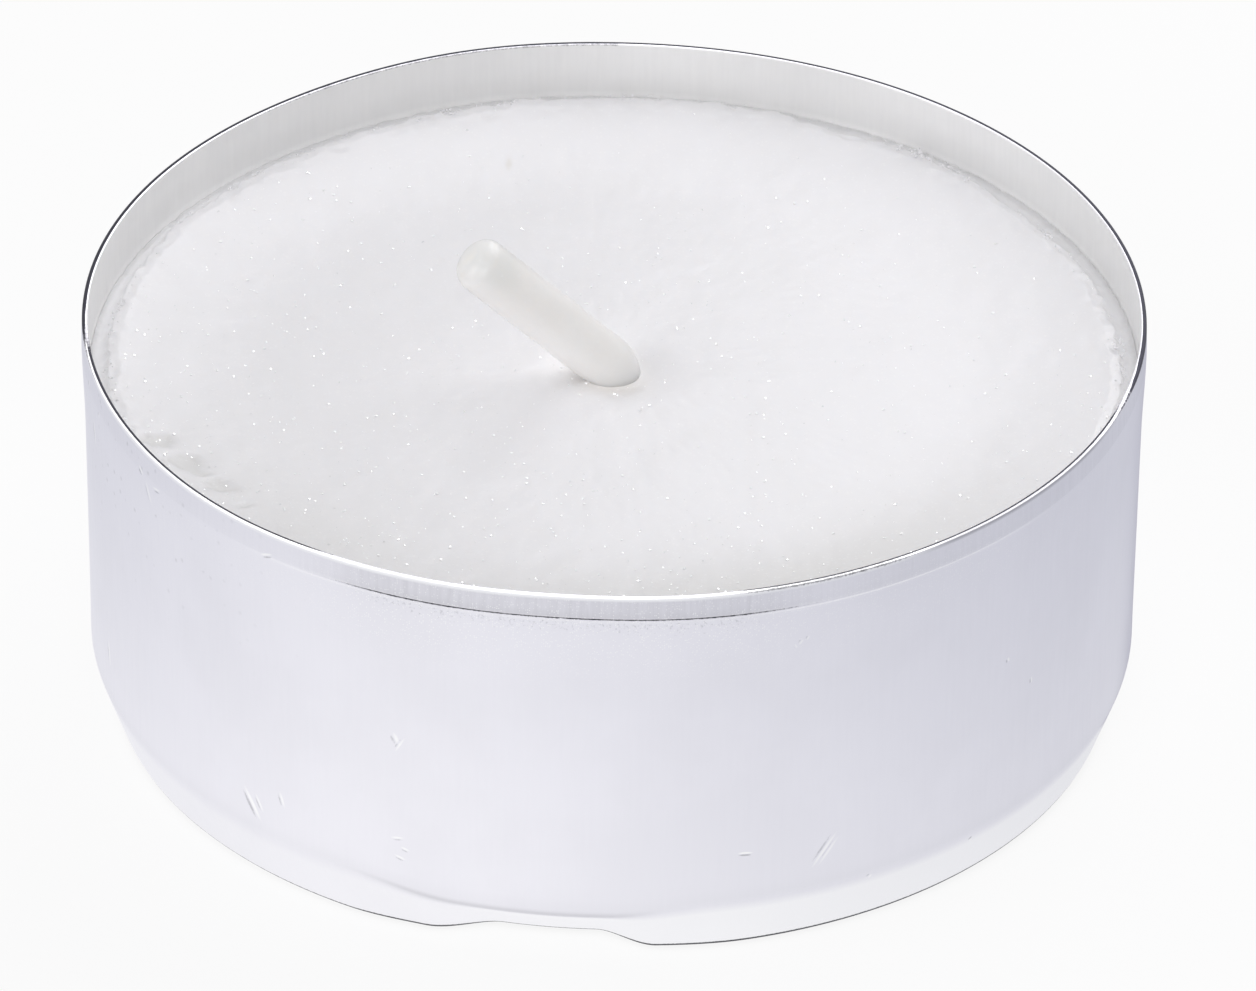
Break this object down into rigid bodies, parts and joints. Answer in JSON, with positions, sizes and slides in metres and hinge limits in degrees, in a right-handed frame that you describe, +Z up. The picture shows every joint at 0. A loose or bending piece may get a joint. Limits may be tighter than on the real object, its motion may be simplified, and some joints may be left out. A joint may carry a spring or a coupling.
{
  "type": "tea light candle",
  "caption": "Tea light candle: a pressed wax tablet and a bent, wax-coated wick in a shallow drawn aluminium cup that is dented at its foot.",
  "frame": {"origin": "middle of the cup's base, level with the standing ring that touches the table", "axes": "+Z up out of the cup along its axis; -Y towards the dented side that faces the viewer; +X to the viewer's right, away from the wick's tip"},
  "size_m": [0.038, 0.038, 0.0189],
  "materials": {
    "aluminium_cup": "bright drawn sheet with fine vertical drawing marks on the rim band and light scuffs",
    "paraffin_wax": "white pressed paraffin with fine crystal sparkle and a ragged edge",
    "cotton_wick": "cream braided cotton, cut square",
    "wick_wax": "warm translucent wax coat with a soft sheen",
    "tinned_steel": "bright tinned steel"
  },
  "bodies": {
    "root": {"cup": "aluminium_cup", "wax": "paraffin_wax", "wick": "cotton_wick", "wick_coat": "wick_wax", "wick_sustainer": "tinned_steel"}
  },
  "joints": []
}
